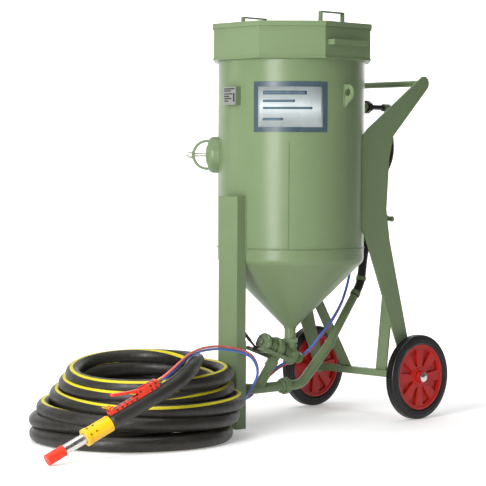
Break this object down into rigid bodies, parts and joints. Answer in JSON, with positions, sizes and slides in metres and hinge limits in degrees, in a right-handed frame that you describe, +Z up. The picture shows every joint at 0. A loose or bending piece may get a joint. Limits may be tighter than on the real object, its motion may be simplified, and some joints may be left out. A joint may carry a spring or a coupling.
{
  "type": "mobile abrasive blast pot",
  "caption": "Wheeled pressure vessel with a hopper, metering valve and air pipework, feeding a coiled hose that ends in a nozzle with a dead-man handle.",
  "frame": {"origin": "on the floor under the middle of the pot, between the front leg's face and the backs of the tyres, measured without the loose hoses", "axes": "+Z up along the vessel; +Y from the front leg towards the wheels; +X to the right seen from the front leg's side"},
  "size_m": [0.9719, 1.7954, 1.425],
  "materials": {
    "paint": "semi-gloss sage green paint, lightly scuffed",
    "seal": "black rubber",
    "zinc": "zinc plated steel",
    "steel": "turned steel",
    "label": "printed plastic label",
    "plate": "blank aluminium plate",
    "tyre": "solid rubber tyre",
    "rim": "red moulded wheel",
    "chrome": "bright cap",
    "hose": "black rubber hose",
    "black_metal": "black",
    "lever": "red lever",
    "casting": "plated malleable iron",
    "holder": "yellow nylon",
    "cap": "red-orange cap",
    "deadman": "red",
    "brass": "brass",
    "control": "twin control hose, one line red and one blue"
  },
  "bodies": {
    "pot": {"pressure_vessel": "paint", "top_head": "paint", "filler_seal": "seal", "guide_pipe": "zinc", "hopper": "paint", "hopper_handles": "paint", "lifting_lugs": "paint", "label_panel": "label", "rating_plate": "plate", "front_leg": "paint", "side_plate_right": "paint", "side_plate_left": "paint", "push_handle": "paint", "axle_tube": "paint", "axle_shaft": "zinc", "braces": "paint", "handhole_ring": "paint", "handhole_cover": "paint", "handhole_gasket": "seal", "handhole_yoke": "paint", "handhole_stud": "zinc", "valve_body": "paint", "valve_actuator": "paint", "valve_tie_bars": "paint", "wye_pipe": "paint", "pipe_union": "paint", "air_pipe": "paint", "hose_clamps": "paint", "air_hose": "hose", "tank_air_pipe": "paint", "tank_air_hose": "hose", "inlet_valve": "paint", "valve_bracket": "paint", "exhaust_silencer": "black_metal", "claw_couplings": "casting", "hose_coupling": "casting", "blast_hose_tail": "hose", "blast_hose_coil": "hose", "blast_hose_lead": "hose", "nozzle_holder": "holder", "blast_nozzle": "steel", "deadman_body": "deadman", "control_fittings": "brass", "control_hoses": "control"},
    "hopper_lid": {"lid": "paint", "lid_handles": "paint"},
    "popup": {"popup_cone": "seal"},
    "wheel_right": {"tyre_right": "tyre", "rim_right": "rim", "hub_cap_right": "chrome"},
    "wheel_left": {"tyre_left": "tyre", "rim_left": "rim", "hub_cap_left": "chrome"},
    "yoke_nut": {"handhole_nut": "zinc"},
    "metering": {"metering_lever": "seal"},
    "air_lever": {"ball_valve_lever": "lever"},
    "trigger": {"deadman_lever": "deadman"},
    "flap": {"safety_flap": "holder"},
    "tip_cap": {"nozzle_cap": "cap"},
    "sieve_insert": {"sieve": "zinc"}
  },
  "joints": [
    {"name": "lid_lift", "type": "slide", "parent": "pot", "child": "hopper_lid", "axis": [0, 0, 1], "range_m": [0, 0.15]},
    {"name": "sieve_lift", "type": "slide", "parent": "pot", "child": "sieve_insert", "axis": [0, 0, 1], "range_m": [0, 0.02]},
    {"name": "popup_rise", "type": "slide", "parent": "pot", "child": "popup", "axis": [0, 0, 1], "range_m": [0, 0.024]},
    {"name": "wheel_right_spin", "type": "hinge", "parent": "pot", "child": "wheel_right", "pos_m": [0.257, 0.265, 0.15], "axis": [1, 0, 0], "continuous": true},
    {"name": "wheel_left_spin", "type": "hinge", "parent": "pot", "child": "wheel_left", "pos_m": [-0.257, 0.265, 0.15], "axis": [1, 0, 0], "continuous": true},
    {"name": "handhole_nut_turn", "type": "hinge", "parent": "pot", "child": "yoke_nut", "pos_m": [-0.25178, -0.36314, 0.935], "axis": [-0.7193, -0.6947, 0], "continuous": true},
    {"name": "metering_lever_turn", "type": "hinge", "parent": "pot", "child": "metering", "pos_m": [0, -0.285, 0.266], "axis": [1, 0, 0], "range_deg": [-25, 25]},
    {"name": "ball_valve_lever_turn", "type": "hinge", "parent": "pot", "child": "air_lever", "pos_m": [-0.075, 0.28, 0.754], "axis": [0, 0, -1], "range_deg": [0, 90]},
    {"name": "deadman_lever_press", "type": "hinge", "parent": "pot", "child": "trigger", "pos_m": [0.2991, -1.05458, 0.20899], "axis": [0.9758, -0.2186, 0], "range_deg": [0, 15], "stiffness_Nm_per_rad": 0.5},
    {"name": "safety_flap_tip", "type": "hinge", "parent": "pot", "child": "flap", "pos_m": [0.27378, -1.16759, 0.15921], "axis": [0.9758, -0.2186, 0], "range_deg": [0, 30], "stiffness_Nm_per_rad": 0.05},
    {"name": "nozzle_cap_pull", "type": "slide", "parent": "pot", "child": "tip_cap", "axis": [-0.198, -0.8838, -0.4239], "range_m": [0, 0.08]}
  ]
}
